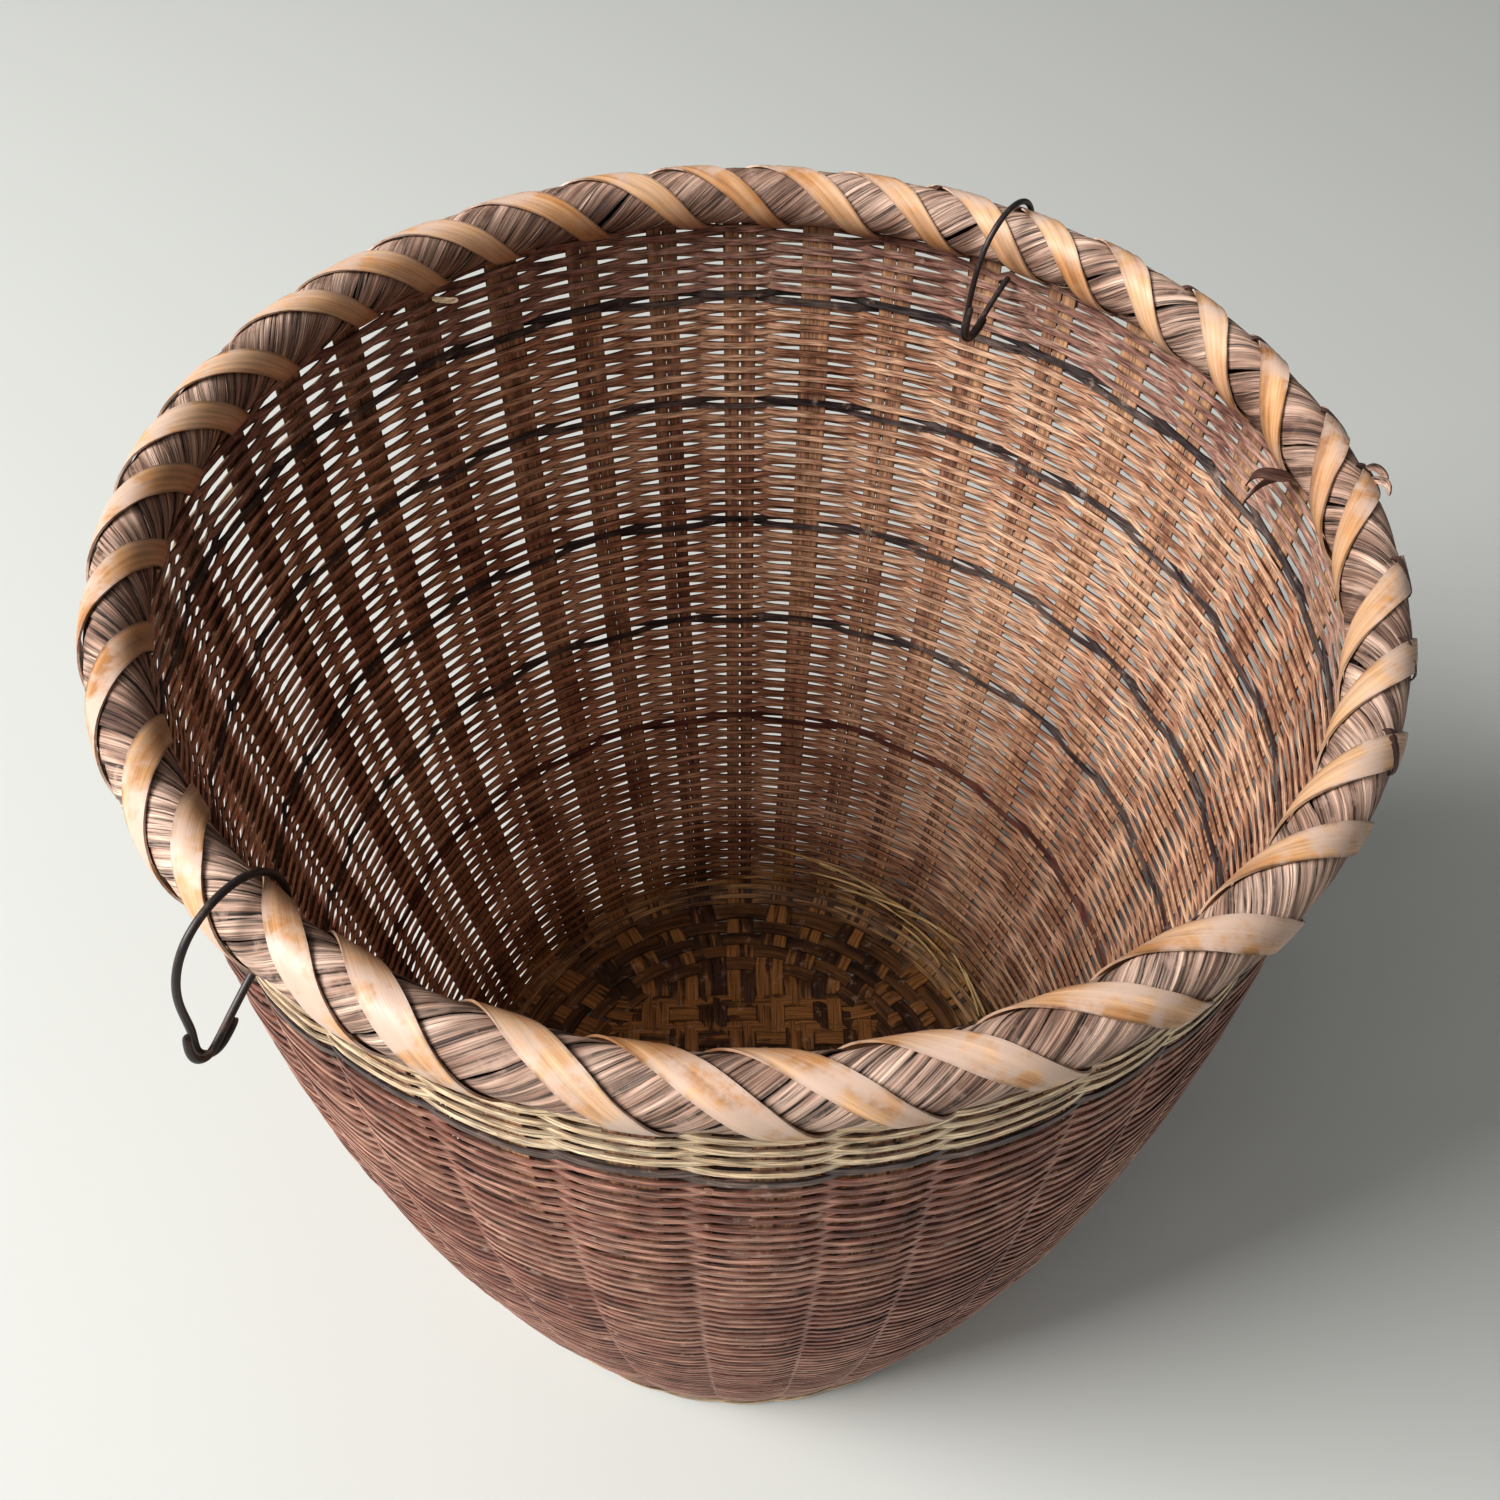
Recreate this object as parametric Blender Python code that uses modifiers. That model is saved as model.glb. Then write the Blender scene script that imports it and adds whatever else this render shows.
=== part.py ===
"""Deep round farm basket of split bamboo: splints, woven wall, bound rim and two wire rings.

Metres, +Z up.  The origin is the centre of the base, on the floor.  Pairs of splints cross the
base along X and along Y, fan out, turn up at the foot and stand in the wall as stakes.
"""
from math import atan2, cos, pi, radians, sin, sqrt

import bmesh
import bpy
from mathutils import Vector

# Driving dimensions
RIM_RADIUS = 0.200          # line of the wall inside the rim
RIM_HEIGHT = 0.438          # middle of the rim above the floor
FOOT_RADIUS = 0.1492        # line of the wall if it ran down to the floor
BELLY = 0.341               # swell of the wall between foot and rim
CLEARANCE = 0.0003          # gap kept between neighbouring pieces
MERGE_DISTANCE = 0.00002    # points closer than this become one

# Splints that cross the base and stand as stakes
STAKES = 36
PER_SET = STAKES // 4
STAKE_STEP = 2 * pi / STAKES
STAKE_WIDTH = 0.0110
STAKE_THICKNESS = 0.0007
SPLINT_PITCH = 0.0166       # spacing of the parallel splints in the middle of the base
SQUARE_REACH = 0.098        # how far from the centre they stay parallel
LAYER_X = STAKE_THICKNESS / 2
HEEL_REACH = 0.0122         # where the splints start to turn up, inside the foot radius
HEEL_TOP = 0.0140
HEEL_STEPS = 3

# Weft rows, from the foot up
WEFT_THICKNESS = 0.0007
WEAVE_FOOT = 0.0160
WEAVE_TOP = RIM_HEIGHT - 0.0205
RING_TALL = 0.0066
DARK_RING_HEIGHTS = (0.1320, 0.2007, 0.2632, 0.3336, 0.3900)
FOOT_BAND_ROWS = 2

# Wide rounds that are woven between the splints on the base
ROUNDS = 5
ROUND_WIDTH = 0.0080
ROUND_PITCH = 0.0087
ROUND_FIRST = 0.0960
ROUND_LOW = STAKE_THICKNESS + CLEARANCE
ROUND_HIGH = ROUND_LOW + STAKE_THICKNESS
LAYER_Y = ROUND_HIGH + CLEARANCE + STAKE_THICKNESS / 2

# Strand outside the foot
STRAND_RADIUS = 0.0018
STRAND_OFFSET = 0.0031
STRAND_HEIGHT = 0.0060
STRAND_SIDES = 6

# Rim: hoops that clamp the stakes, filler, wrapping and lashing
HOOP_GAP = STAKE_THICKNESS / 2 + CLEARANCE
HOOP_REACH = 0.0044
HOOP_LOW = -0.0060
HOOP_HIGH = 0.0044
STAKE_TOP = RIM_HEIGHT + HOOP_HIGH
FILLER_LOW = HOOP_HIGH + CLEARANCE
FILLER_HIGH = 0.0080
FILLER_HALF_BOTTOM = 0.0050
FILLER_HALF_TOP = 0.0024
WRAP_HALF_WIDTH = 0.0081
WRAP_HALF_HEIGHT = 0.0102
WRAP_THICKNESS = 0.0007
WRAP_SLOT = 0.0013
WRAP_EDGES = 9
LASHING_HALF_WIDTH = 0.0106
LASHING_HALF_HEIGHT = 0.0123
LASHING_OUTWARD = 0.0004    # the lashing sits a little outward of the wall line
LASHING_WIDTH = 0.0094
LASHING_THICKNESS = 0.0007
LASHING_TURNS = STAKES // 2
LASHING_STEPS = 10

# Wire rings: each runs through the wall just under the rim and swings there
WIRE_RADIUS = 0.00125
WIRE_HOLE_DROP = 0.0170     # hole below the middle of the rim
WIRE_SIDE = 0.0029          # sideways step of the strand that lies along the bar
OUTSIDE_RING_ANGLE = radians(227.6)
OUTSIDE_RING_TURN = radians(13.0)
INSIDE_RING_ANGLE = radians(56.9)
INSIDE_RING_TURN = radians(176.0)
# Outline of a ring round the rim, in millimetres from the middle of the rim:
# away from the wall, up, and sideways in steps of WIRE_SIDE
WIRE_ROUTE = (
    (30.5, -14.5, 0.0), (32.0, -20.0, 0.0), (31.6, -26.0, 0.0), (28.6, -29.4, 0.0),
    (24.5, -28.6, 0.0), (16.5, -24.3, 0.0), (8.0, -20.0, 0.0), (0.0, -17.0, 0.0),
    (-6.5, -15.6, 0.0), (-11.6, -11.4, 0.0), (-13.8, -4.0, 0.0), (-12.5, 4.5, 0.0),
    (-8.0, 11.8, 0.0), (-1.0, 16.4, 0.0), (8.0, 18.0, 0.0), (16.0, 15.8, -0.1),
    (22.0, 10.5, -0.3), (25.6, 3.0, -0.5), (27.0, -5.0, -0.7), (27.2, -13.0, -0.9),
    (27.4, -20.0, -1.0), (28.6, -26.0, -1.0), (28.4, -30.4, -0.97), (26.2, -32.8, -0.5),
    (22.4, -31.0, 0.0), (16.0, -27.6, 0.0),
)
WIRE_SUBSTEPS = 2
MILLIMETRE = 0.001

# Colour, roughness and metallic value of each finish
FINISHES = {
    "splint_bamboo": ((0.33, 0.20, 0.12, 1.0), 0.62, 0.0),
    "weft_bamboo": ((0.36, 0.21, 0.13, 1.0), 0.66, 0.0),
    "top_weft_bamboo": ((0.44, 0.31, 0.18, 1.0), 0.60, 0.0),
    "dark_weft": ((0.035, 0.032, 0.036, 1.0), 0.70, 0.0),
    "base_bamboo": ((0.20, 0.12, 0.06, 1.0), 0.64, 0.0),
    "strand_bamboo": ((0.47, 0.33, 0.19, 1.0), 0.60, 0.0),
    "hoop_bamboo": ((0.38, 0.27, 0.16, 1.0), 0.60, 0.0),
    "wrap_bark": ((0.21, 0.15, 0.12, 1.0), 0.72, 0.0),
    "lashing_bamboo": ((0.56, 0.36, 0.19, 1.0), 0.42, 0.0),
    "wire_iron": ((0.030, 0.029, 0.031, 1.0), 0.45, 0.85),
}


def clear_scene():
    """Remove every object that the scene starts with."""
    for obj in list(bpy.data.objects):
        bpy.data.objects.remove(obj, do_unlink=True)


def make_collection(name):
    """Collection that holds the basket's parts."""
    collection = bpy.data.collections.new(name)
    bpy.context.scene.collection.children.link(collection)
    return collection


def make_finish(name):
    """Principled material from the table of finishes."""
    colour, roughness, metallic = FINISHES[name]
    material = bpy.data.materials.new(name)
    material.use_nodes = True
    shader = material.node_tree.nodes["Principled BSDF"]
    shader.inputs["Base Color"].default_value = colour
    shader.inputs["Roughness"].default_value = roughness
    shader.inputs["Metallic"].default_value = metallic
    material.diffuse_color = colour
    return material


def add_mesh(name, bm, collection, material):
    """Turn a bmesh into a named object in the collection."""
    mesh = bpy.data.meshes.new(name)
    bm.to_mesh(mesh)
    bm.free()
    mesh.materials.append(material)
    obj = bpy.data.objects.new(name, mesh)
    collection.objects.link(obj)
    return obj


def thicken(obj, thickness):
    """Give a sheet its thickness, half to each side."""
    solid = obj.modifiers.new("thickness", "SOLIDIFY")
    solid.thickness = thickness
    solid.offset = 0.0
    solid.use_even_offset = True


def wall_radius(height):
    """Radius of the wall's middle line at a height."""
    share = height / RIM_HEIGHT
    swell = 4 * BELLY * share * (1 - share)
    return FOOT_RADIUS + (RIM_RADIUS - FOOT_RADIUS) * (share + swell)


def weft_offsets(radius):
    """How far a weft stands outside and inside the stakes' line where it passes them.

    A weft runs straight from one stake to the next, so it has to stand off far enough to
    clear the edges of a flat stake.
    """
    reach = radius * sin(STAKE_STEP)
    edge = STAKE_WIDTH / 2 / reach
    drop = radius * (1 - cos(STAKE_STEP))
    need = STAKE_THICKNESS / 2 + WEFT_THICKNESS / 2 + CLEARANCE
    keep = 1 - edge
    outside = (need + edge * drop) * keep + edge * (need - edge * drop)
    outside /= keep * keep - edge * edge
    inside = (need - edge * drop + edge * outside) / keep
    return outside, inside


def add_weft(name, low, high, rows, outside_first, collection, material):
    """One band of weft that passes outside one stake and inside the next."""
    bm = bmesh.new()
    bmesh.ops.create_circle(bm, segments=STAKES, radius=RIM_RADIUS)
    rise = (high - low) / rows
    edges = bm.edges[:]
    for _ in range(rows):
        grown = bmesh.ops.extrude_edge_only(bm, edges=edges)["geom"]
        edges = [item for item in grown if isinstance(item, bmesh.types.BMEdge)]
        tops = [item for item in grown if isinstance(item, bmesh.types.BMVert)]
        bmesh.ops.translate(bm, verts=tops, vec=(0, 0, rise))
    for vert in bm.verts:
        angle = atan2(vert.co.y, vert.co.x)
        stake = round(angle / STAKE_STEP)
        height = low + vert.co.z
        radius = wall_radius(height)
        outside, inside = weft_offsets(radius)
        passes_outside = (stake % 2 == 0) == outside_first
        radius += outside if passes_outside else -inside
        turn = stake * STAKE_STEP
        vert.co = Vector((radius * cos(turn), radius * sin(turn), height))
    obj = add_mesh(name, bm, collection, material)
    thicken(obj, WEFT_THICKNESS)


def add_wall(collection, finishes):
    """Six bands of fine weft with a dark ring between each two, alternating round the stakes."""
    half = RING_TALL / 2
    count = len(DARK_RING_HEIGHTS)
    low = WEAVE_FOOT
    for index, height in enumerate(DARK_RING_HEIGHTS):
        rows = FOOT_BAND_ROWS if index == 0 else 1
        number = count + 1 - index
        band_high = height - half - CLEARANCE
        add_weft(f"weft_band_{number}", low, band_high, rows, True, collection, finishes["weft_bamboo"])
        add_weft(f"dark_ring_{count - index}", height - half, height + half, 1, False,
                 collection, finishes["dark_weft"])
        low = height + half + CLEARANCE
    add_weft("weft_band_1", low, WEAVE_TOP, 1, True, collection, finishes["top_weft_bamboo"])


def splint_stations(number, layer):
    """Middle line and width direction of half a splint pair, from mid base to the rim.

    The splint runs along +X; number counts the pairs from the middle one, to either side.
    """
    angle = number * STAKE_STEP
    outward = Vector((cos(angle), sin(angle), 0))
    tangent = Vector((-sin(angle), cos(angle), 0))
    side = number * SPLINT_PITCH
    bend = Vector((sqrt(SQUARE_REACH ** 2 - side ** 2), side, layer))
    heel_start = outward * (FOOT_RADIUS - HEEL_REACH) + Vector((0, 0, layer))
    fan = (heel_start - bend).normalized()
    fan_width = Vector((-fan.y, fan.x, 0))
    straight_width = Vector((0, 1, 0))
    stations = [(Vector((0, side, layer)), straight_width)]
    stations.append((bend, (straight_width + fan_width).normalized()))
    stations.append((heel_start, (fan_width + tangent).normalized()))
    corner = outward * wall_radius(layer) + Vector((0, 0, layer))
    heel_end = outward * wall_radius(HEEL_TOP) + Vector((0, 0, HEEL_TOP))
    for step in range(1, HEEL_STEPS + 1):
        share = step / HEEL_STEPS
        start = heel_start.lerp(corner, share)
        finish = corner.lerp(heel_end, share)
        stations.append((start.lerp(finish, share), tangent))
    heights = [(WEAVE_FOOT + DARK_RING_HEIGHTS[0]) / 2]
    heights += list(DARK_RING_HEIGHTS)
    heights.append(WEAVE_TOP)
    stations += [(outward * wall_radius(z) + Vector((0, 0, z)), tangent) for z in heights]
    for height in (RIM_HEIGHT + HOOP_LOW - 2 * CLEARANCE, STAKE_TOP):
        stations.append((outward * RIM_RADIUS + Vector((0, 0, height)), tangent))
    return stations


def sweep_ribbon(bm, stations, width):
    """Extrude an edge of the given width through the stations."""
    half = width / 2
    centre, across = stations[0]
    first = [bm.verts.new(centre - across * half), bm.verts.new(centre + across * half)]
    edge = bm.edges.new(first)
    for centre, across in stations[1:]:
        grown = bmesh.ops.extrude_edge_only(bm, edges=[edge])["geom"]
        edge = next(item for item in grown if isinstance(item, bmesh.types.BMEdge))
        new = [item for item in grown if isinstance(item, bmesh.types.BMVert)]
        old = {vert: link.other_vert(vert) for vert in new for link in vert.link_edges if link != edge}
        for vert in new:
            is_first = old[vert] is first[0]
            vert.co = centre - across * half if is_first else centre + across * half
        first = sorted(new, key=lambda vert: old[vert] is not first[0])


def add_splint(name, number, along_x, collection, material):
    """A splint pair that runs up one side of the wall, down, across the base and up again."""
    layer = LAYER_X if along_x else LAYER_Y
    bm = bmesh.new()
    sweep_ribbon(bm, splint_stations(number, layer), STAKE_WIDTH)
    obj = add_mesh(name, bm, collection, material)
    mirror = obj.modifiers.new("other_half", "MIRROR")
    mirror.merge_threshold = MERGE_DISTANCE
    thicken(obj, STAKE_THICKNESS)
    if not along_x:
        obj.rotation_euler.z = pi / 2


def add_splints(collection, material):
    """Nine pairs along X and nine along Y."""
    middle = PER_SET // 2
    for index in range(PER_SET):
        number = index - middle
        add_splint(f"splint_x_{index + 1}", number, True, collection, material)
        add_splint(f"splint_y_{index + 1}", number, False, collection, material)


def add_turned(name, outline, collection, material):
    """Turn a closed outline round the Z axis, with its flats facing the stakes."""
    mesh = bpy.data.meshes.new(name)
    count = len(outline)
    scale = 1 / cos(STAKE_STEP / 2)
    points = [(radius * scale, 0, height) for radius, height in outline]
    edges = [(index, (index + 1) % count) for index in range(count)]
    mesh.from_pydata(points, edges, [])
    mesh.materials.append(material)
    obj = bpy.data.objects.new(name, mesh)
    collection.objects.link(obj)
    screw = obj.modifiers.new("turn", "SCREW")
    screw.axis = "Z"
    screw.angle = 2 * pi
    screw.steps = STAKES
    screw.render_steps = STAKES
    screw.use_merge_vertices = True
    screw.merge_threshold = MERGE_DISTANCE
    screw.use_smooth_shade = False
    obj.rotation_euler.z = STAKE_STEP / 2


def rectangle(low_radius, high_radius, low, high):
    """Closed outline that runs down its outer side."""
    return [(high_radius, high), (high_radius, low), (low_radius, low), (low_radius, high)]


def add_rounds(collection, material):
    """Wide rounds between the X splints below and the Y splints above."""
    for index in range(ROUNDS):
        middle = ROUND_FIRST + index * ROUND_PITCH
        outline = rectangle(middle - ROUND_WIDTH / 2, middle + ROUND_WIDTH / 2, ROUND_LOW, ROUND_HIGH)
        add_turned(f"base_round_{index + 1}", outline, collection, material)


def add_foot_strand(collection, material):
    """Round strand that lies outside the turned-up splints."""
    bpy.ops.mesh.primitive_torus_add(
        major_radius=FOOT_RADIUS + STRAND_OFFSET,
        minor_radius=STRAND_RADIUS,
        major_segments=STAKES,
        minor_segments=STRAND_SIDES,
        location=(0, 0, STRAND_HEIGHT),
        rotation=(0, 0, STAKE_STEP / 2),
    )
    obj = bpy.context.active_object
    obj.name = "foot_strand"
    for owner in list(obj.users_collection):
        owner.objects.unlink(obj)
    collection.objects.link(obj)
    obj.data.materials.append(material)


def add_hoops(collection, finishes):
    """Inner and outer hoops with the stakes' ends between them, and the filler on top."""
    low = RIM_HEIGHT + HOOP_LOW
    high = RIM_HEIGHT + HOOP_HIGH
    hoop = finishes["hoop_bamboo"]
    outer = rectangle(RIM_RADIUS + HOOP_GAP, RIM_RADIUS + HOOP_REACH, low, high)
    inner = rectangle(RIM_RADIUS - HOOP_REACH, RIM_RADIUS - HOOP_GAP, low, high)
    add_turned("rim_hoop_outer", outer, collection, hoop)
    add_turned("rim_hoop_inner", inner, collection, hoop)
    filler_low = RIM_HEIGHT + FILLER_LOW
    filler_high = RIM_HEIGHT + FILLER_HIGH
    filler = [
        (RIM_RADIUS + FILLER_HALF_TOP, filler_high),
        (RIM_RADIUS + FILLER_HALF_BOTTOM, filler_low),
        (RIM_RADIUS - FILLER_HALF_BOTTOM, filler_low),
        (RIM_RADIUS - FILLER_HALF_TOP, filler_high),
    ]
    add_turned("rim_filler", filler, collection, hoop)


def wrap_arc(half_width, half_height):
    """Arc of the wrapping's section, from beside the slot, over the top and back."""
    gap = WRAP_SLOT / half_width
    points = []
    for step in range(WRAP_EDGES + 1):
        turn = -pi / 2 + gap + (2 * pi - 2 * gap) * step / WRAP_EDGES
        points.append((RIM_RADIUS + half_width * cos(turn), RIM_HEIGHT + half_height * sin(turn)))
    return points


def add_wrap(collection, material):
    """Bark wrapping: a shell round the hoops that is open below, where the wall enters."""
    outer = wrap_arc(WRAP_HALF_WIDTH, WRAP_HALF_HEIGHT)
    inner = wrap_arc(WRAP_HALF_WIDTH - WRAP_THICKNESS, WRAP_HALF_HEIGHT - WRAP_THICKNESS)
    add_turned("rim_wrap", outer[::-1] + inner, collection, material)


def lashing_station(turns, first_angle):
    """Middle point and width direction of the lashing after a number of turns."""
    section = -pi / 2 + 2 * pi * turns
    angle = first_angle - 2 * pi * turns / LASHING_TURNS
    outward = Vector((cos(angle), sin(angle), 0))
    tangent = Vector((-sin(angle), cos(angle), 0))
    up = Vector((0, 0, 1))
    reach = LASHING_HALF_WIDTH * cos(section)
    rise = LASHING_HALF_HEIGHT * sin(section)
    radius = RIM_RADIUS + LASHING_OUTWARD
    centre = outward * (radius + reach) + up * (RIM_HEIGHT + rise)
    along = outward * -LASHING_HALF_WIDTH * sin(section) + up * LASHING_HALF_HEIGHT * cos(section)
    along -= tangent * (radius + reach) / LASHING_TURNS
    normal = outward * cos(section) / LASHING_HALF_WIDTH + up * sin(section) / LASHING_HALF_HEIGHT
    return centre, normal.cross(along).normalized()


def add_lashing(name, first_angle, collection, material):
    """Closed strip that winds round the rim and passes between the stakes under it."""
    steps = LASHING_TURNS * LASHING_STEPS
    stations = [lashing_station(step / LASHING_STEPS, first_angle) for step in range(steps + 1)]
    bm = bmesh.new()
    sweep_ribbon(bm, stations, LASHING_WIDTH)
    bmesh.ops.remove_doubles(bm, verts=bm.verts[:], dist=MERGE_DISTANCE)
    obj = add_mesh(name, bm, collection, material)
    thicken(obj, LASHING_THICKNESS)


def smooth_route(points, substeps):
    """Points read from a smooth curve through the given ones."""
    route = []
    last = len(points) - 1
    for index in range(last):
        before = points[max(index - 1, 0)]
        start = points[index]
        finish = points[index + 1]
        after = points[min(index + 2, last)]
        for step in range(substeps):
            t = step / substeps
            pull = (finish - before) * t + (before * 2 - start * 5 + finish * 4 - after) * t ** 2
            pull += (start * 3 - before - finish * 3 + after) * t ** 3
            route.append(start + pull / 2)
    route.append(points[last])
    return route


def add_wire_ring(name, angle, turn, collection, material):
    """Iron wire bent round the rim; its origin is the hole in the wall where it swings."""
    corners = []
    for away, up, sideways in WIRE_ROUTE:
        corners.append(Vector((away * MILLIMETRE, sideways * WIRE_SIDE, up * MILLIMETRE + WIRE_HOLE_DROP)))
    route = smooth_route(corners, WIRE_SUBSTEPS)
    curve = bpy.data.curves.new(name, "CURVE")
    curve.dimensions = "3D"
    curve.bevel_depth = WIRE_RADIUS
    curve.bevel_resolution = 2
    curve.use_fill_caps = True
    spline = curve.splines.new("POLY")
    spline.points.add(len(route) - 1)
    for point, place in zip(spline.points, route):
        point.co = (*place, 1.0)
    curve.materials.append(material)
    obj = bpy.data.objects.new(name, curve)
    collection.objects.link(obj)
    obj.location = (RIM_RADIUS * cos(angle), RIM_RADIUS * sin(angle), RIM_HEIGHT - WIRE_HOLE_DROP)
    obj.rotation_euler.z = angle + turn


def build_basket():
    """Make every part of the basket."""
    clear_scene()
    collection = make_collection("farm_basket")
    finishes = {name: make_finish(name) for name in FINISHES}
    add_splints(collection, finishes["splint_bamboo"])
    add_rounds(collection, finishes["base_bamboo"])
    add_foot_strand(collection, finishes["strand_bamboo"])
    add_wall(collection, finishes)
    add_hoops(collection, finishes)
    add_wrap(collection, finishes["wrap_bark"])
    add_lashing("rim_lashing_a", STAKE_STEP / 2, collection, finishes["lashing_bamboo"])
    add_lashing("rim_lashing_b", STAKE_STEP * 3 / 2, collection, finishes["lashing_bamboo"])
    wire = finishes["wire_iron"]
    add_wire_ring("wire_ring_outside", OUTSIDE_RING_ANGLE, OUTSIDE_RING_TURN, collection, wire)
    add_wire_ring("wire_ring_inside", INSIDE_RING_ANGLE, INSIDE_RING_TURN, collection, wire)


build_basket()
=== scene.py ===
"""Looks of a deep round farm basket of split bamboo, woven strip by strip round its fixed frame."""
from math import cos, pi, radians, sin

import bmesh
import bpy
import numpy as np
from mathutils import Matrix, Vector


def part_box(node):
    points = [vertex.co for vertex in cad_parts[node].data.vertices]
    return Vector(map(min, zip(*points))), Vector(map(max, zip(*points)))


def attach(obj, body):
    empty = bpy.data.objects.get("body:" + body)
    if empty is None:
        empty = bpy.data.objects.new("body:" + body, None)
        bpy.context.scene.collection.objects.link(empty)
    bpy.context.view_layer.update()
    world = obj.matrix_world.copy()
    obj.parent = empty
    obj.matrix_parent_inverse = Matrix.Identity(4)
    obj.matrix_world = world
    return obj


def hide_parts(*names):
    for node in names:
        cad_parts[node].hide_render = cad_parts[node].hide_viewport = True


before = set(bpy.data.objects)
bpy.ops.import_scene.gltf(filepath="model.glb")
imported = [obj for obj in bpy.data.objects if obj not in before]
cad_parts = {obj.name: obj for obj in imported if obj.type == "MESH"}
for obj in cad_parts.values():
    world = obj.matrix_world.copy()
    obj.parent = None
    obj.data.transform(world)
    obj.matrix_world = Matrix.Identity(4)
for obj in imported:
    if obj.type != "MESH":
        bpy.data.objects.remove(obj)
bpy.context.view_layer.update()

BODY = "basket"

# Each kind of piece draws its unevenness from its own seeds, counted up from these
SHIFT_SEED = 7
LOOSENESS_SEED = 8
LEAN_SEED = 9
BAND_SEED = 10
DARK_RING_SEED = 30
SPLINT_SEED = 60
ROUND_SEED = 90
STRAND_SEED = 99
RIM_SEED = 101
LOOSE_END_SEED = 111

# ---------------------------------------------------------------- sizes, read from the frame
STAKES = 36
STAKE_STEP = 2 * pi / STAKES
PER_SET = STAKES // 4       # splint pairs that run one way across the base
HOOP_REACH = 0.0044         # outer hoop's outer side, past the rim's middle line
STRAND_OUT = 0.0049         # foot strand's outer side, past the wall line
BELLY = 0.341               # swell of the wall between foot and rim

lashing_low, lashing_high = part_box("rim_lashing_a")
RIM_HEIGHT = (lashing_low.z + lashing_high.z) / 2
RIM_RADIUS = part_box("rim_hoop_outer")[1].x - HOOP_REACH
FOOT_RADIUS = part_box("foot_strand")[1].x / cos(STAKE_STEP / 2) - STRAND_OUT
DARK_RINGS = 5
RING_HEIGHTS = [sum(corner.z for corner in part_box(f"dark_ring_{n}")) / 2 for n in range(DARK_RINGS, 0, -1)]
WEAVE_TOP = RIM_HEIGHT - 0.0105

# ---------------------------------------------------------------- strips
STAKE_WIDTH = 0.0061
STAKE_GAP = 0.00004
STAKE_THICKNESS = 0.0007
BASE_STRIP_WIDTH = 0.0083
BASE_STRIP_PITCH = 0.0083   # spacing of the single strips in the square of the base
SQUARE_REACH = 0.098        # the strips stay parallel up to here
BASE_LAYER = 0.00165        # middle of the woven base above the floor
BASE_WAVE = 0.00070         # half the rise of a strip over the next one
BASE_CROWN = 0.00010
SPLINT_STEP = 0.0036        # spacing of the points along a splint
SPLINT_SWAY = 0.0003
SPLINT_END = 0.001          # splints end this far below the middle of the rim
MOST_SPLIT = 0.0010         # widest extra gap between the two splints of a pair
NARROW_FROM = 0.03          # a base strip narrows to its stake from here before the heel, over this length
NARROW_OVER = 0.05
FLAT_OVER = 0.006           # a splint stops rising and falling over this length above the heel
SQUARE_POINTS = 40
FAN_POINTS = 24
SMOOTHED_POINTS = 9
HEEL_REACH = 0.0122         # width of the bend from base to wall
HEEL_TOP = 0.0140
WEFT_PITCH = 0.0033
WEFT_WIDTH = 0.0034
WEFT_THICKNESS = 0.00062
WEFT_WAVE = 0.00165         # how far a weft stands off the wall line where it passes a stake
FOOT_WAVE = 0.00095         # the same where the first wefts lie flat on the base
WEFT_CROWN = 0.00015
STEPS_PER_STAKE = 8         # points along a row from one stake to the next
WEFT_OVERLAP = radians(7)   # the end of a row is tucked in behind its start
WEFT_TUCK = 0.0009
LOOSER_FROM = 0.015         # the weave gets looser from this height, over this rise
LOOSER_RISE = 0.22
# Unevenness of a row up and down: its size, waves round the wall, and how far they are turned
ROW_WOBBLES = ((0.00024, 5, 6), (0.00018, 23, 9), (0.00012, 61, 9))

WIRE_DROP = 0.0170          # hole of a wire ring below the middle of the rim
OUTSIDE_RING_ANGLE = radians(227.6)
INSIDE_RING_ANGLE = radians(56.9)


def wall_radius(height):
    """Radius of the wall's middle line at a height."""
    share = height / RIM_HEIGHT
    return FOOT_RADIUS + (RIM_RADIUS - FOOT_RADIUS) * (share + 4 * BELLY * share * (1 - share))


def smooth_step(share):
    """Ease from 0 to 1."""
    share = np.clip(share, 0.0, 1.0)
    return share * share * (3 - 2 * share)


def bend_through(start, middle, end, share):
    """Smooth bend from a start to an end, drawn towards a middle place."""
    return start * (1 - share) ** 2 + middle * 2 * share * (1 - share) + end * share ** 2


HEEL_START = FOOT_RADIUS - HEEL_REACH
HEEL_POINTS = 24
WALL_POINTS = 160
WALL_PAST_RIM = 0.004       # the profile runs on inside the rim


def profile_table():
    """Dense profile of base, heel and wall: distance along it, radius and height."""
    flat = np.array([[0.0, BASE_LAYER], [HEEL_START, BASE_LAYER]])
    t = np.linspace(0, 1, HEEL_POINTS)[1:, None]
    start = flat[1]
    corner = np.array([wall_radius(BASE_LAYER), BASE_LAYER])
    top = np.array([wall_radius(HEEL_TOP), HEEL_TOP])
    heel = bend_through(start, corner, top, t)
    heights = np.linspace(HEEL_TOP, RIM_HEIGHT + WALL_PAST_RIM, WALL_POINTS)[1:]
    wall = np.column_stack([wall_radius(heights), heights])
    points = np.vstack([flat, heel, wall])
    steps = np.hypot(*np.diff(points, axis=0).T)
    return np.concatenate([[0], np.cumsum(steps)]), points[:, 0], points[:, 1]


ALONG, PROFILE_RADIUS, PROFILE_HEIGHT = profile_table()


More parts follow.
